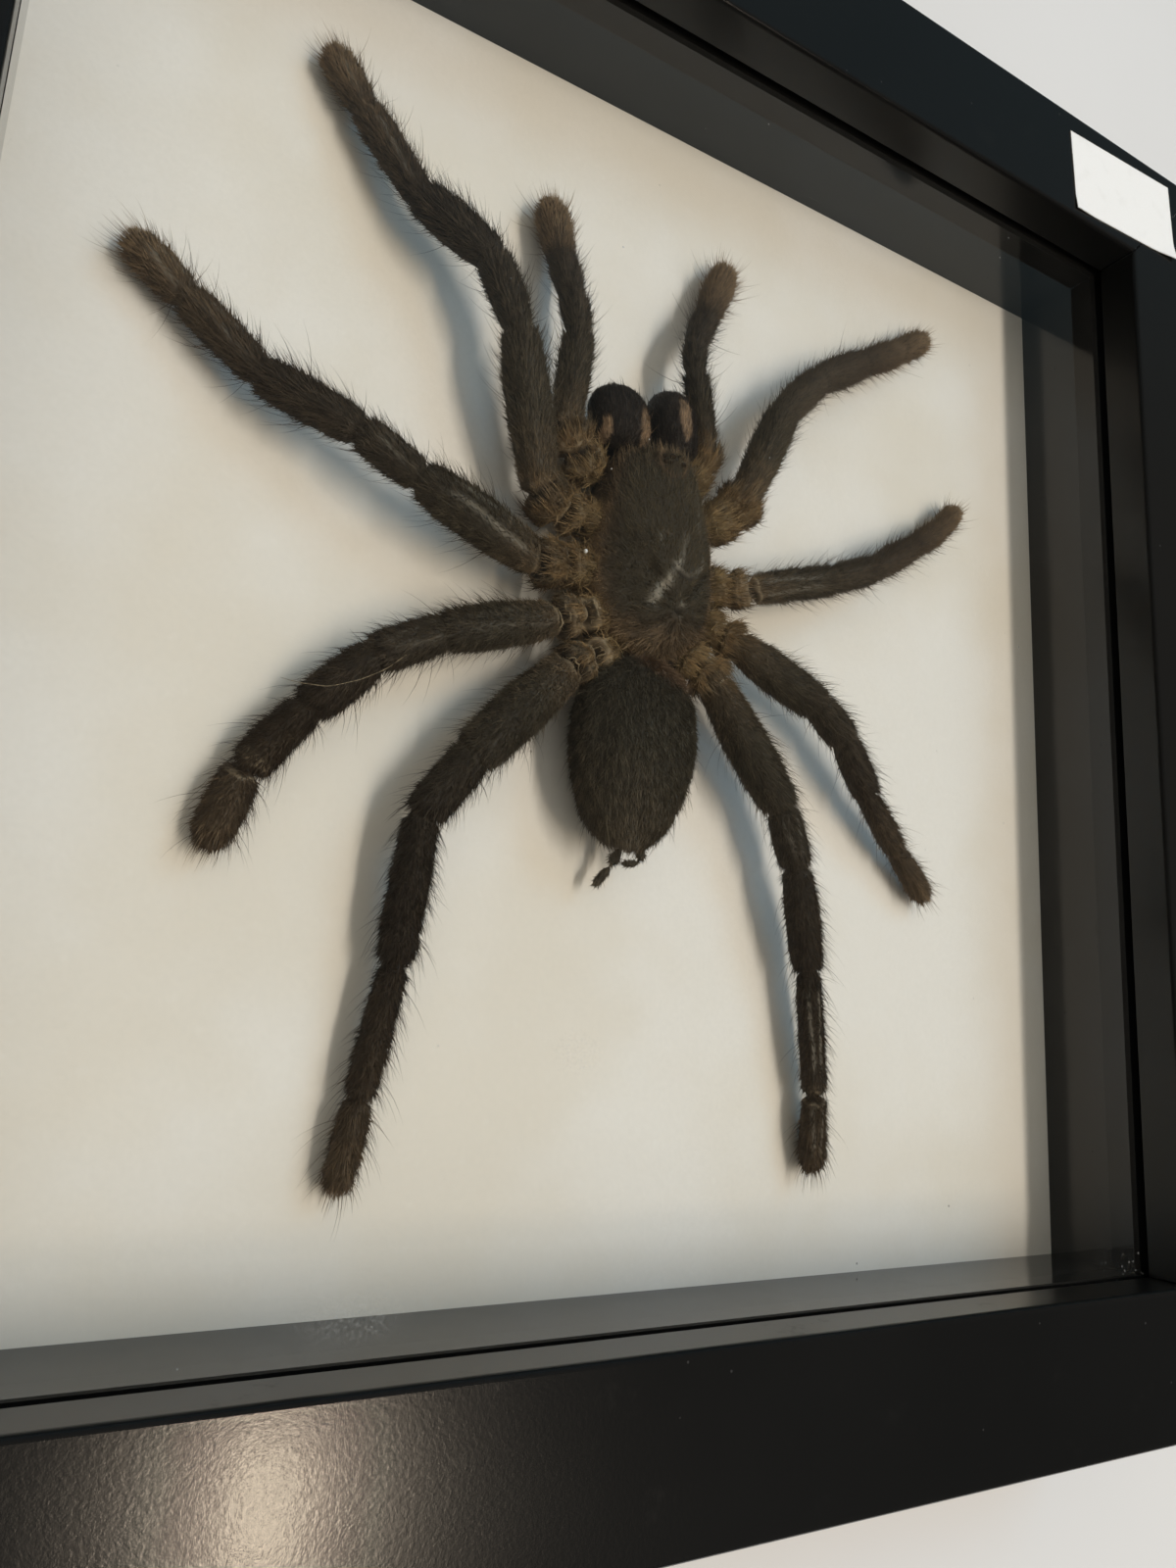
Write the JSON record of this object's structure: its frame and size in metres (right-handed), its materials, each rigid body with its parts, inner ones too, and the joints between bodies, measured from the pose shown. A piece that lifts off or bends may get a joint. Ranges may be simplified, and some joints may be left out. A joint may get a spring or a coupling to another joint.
{
  "type": "framed tarantula specimen",
  "caption": "Large dried tarantula spread flat on an off-white board inside a square black shadow-box frame with a glass front.",
  "frame": {"origin": "middle of the frame, on the plane of the rear faces of its rails", "axes": "+Z out through the glass, +Y the way the spider's head points, +X to the viewer's right"},
  "size_m": [0.254, 0.254, 0.0402],
  "materials": {
    "rail_black": "satin black lacquer with a fine grain",
    "clear_glass": "clear picture glass",
    "liner_black": "smooth glossy black",
    "board_white": "matt off-white, faintly mottled",
    "panel_brown": "raw hardboard",
    "plated_steel": "dull zinc plating",
    "label_paper": "matt white paper, blank",
    "spider_fur": "short dull brown hair",
    "spider_horn": "dark horn under sparse hair"
  },
  "bodies": {
    "root": {"rail_top": "rail_black", "rail_bottom": "rail_black", "rail_left": "rail_black", "rail_right": "rail_black", "front_glass": "clear_glass", "liner_top": "liner_black", "liner_bottom": "liner_black", "liner_left": "liner_black", "liner_right": "liner_black", "mount_board": "board_white", "back_panel": "panel_brown", "tongue_bottom_1": "plated_steel", "tongue_bottom_2": "plated_steel", "tongue_right_1": "plated_steel", "tongue_right_2": "plated_steel", "tongue_top_1": "plated_steel", "tongue_top_2": "plated_steel", "tongue_left_1": "plated_steel", "tongue_left_2": "plated_steel", "sawtooth_hanger": "plated_steel", "hanger_rivet_1": "plated_steel", "hanger_rivet_2": "plated_steel", "price_label": "label_paper", "cephalothorax": "spider_fur", "abdomen": "spider_fur", "leg_left_1": "spider_fur", "leg_left_2": "spider_fur", "leg_left_3": "spider_fur", "leg_left_4": "spider_fur", "leg_right_1": "spider_fur", "leg_right_2": "spider_fur", "leg_right_3": "spider_fur", "leg_right_4": "spider_fur", "palp_left": "spider_fur", "palp_right": "spider_fur", "spinneret_left": "spider_fur", "spinneret_right": "spider_fur", "chelicera_left": "spider_horn", "chelicera_right": "spider_horn", "fang_left": "spider_horn", "fang_right": "spider_horn"}
  },
  "joints": []
}
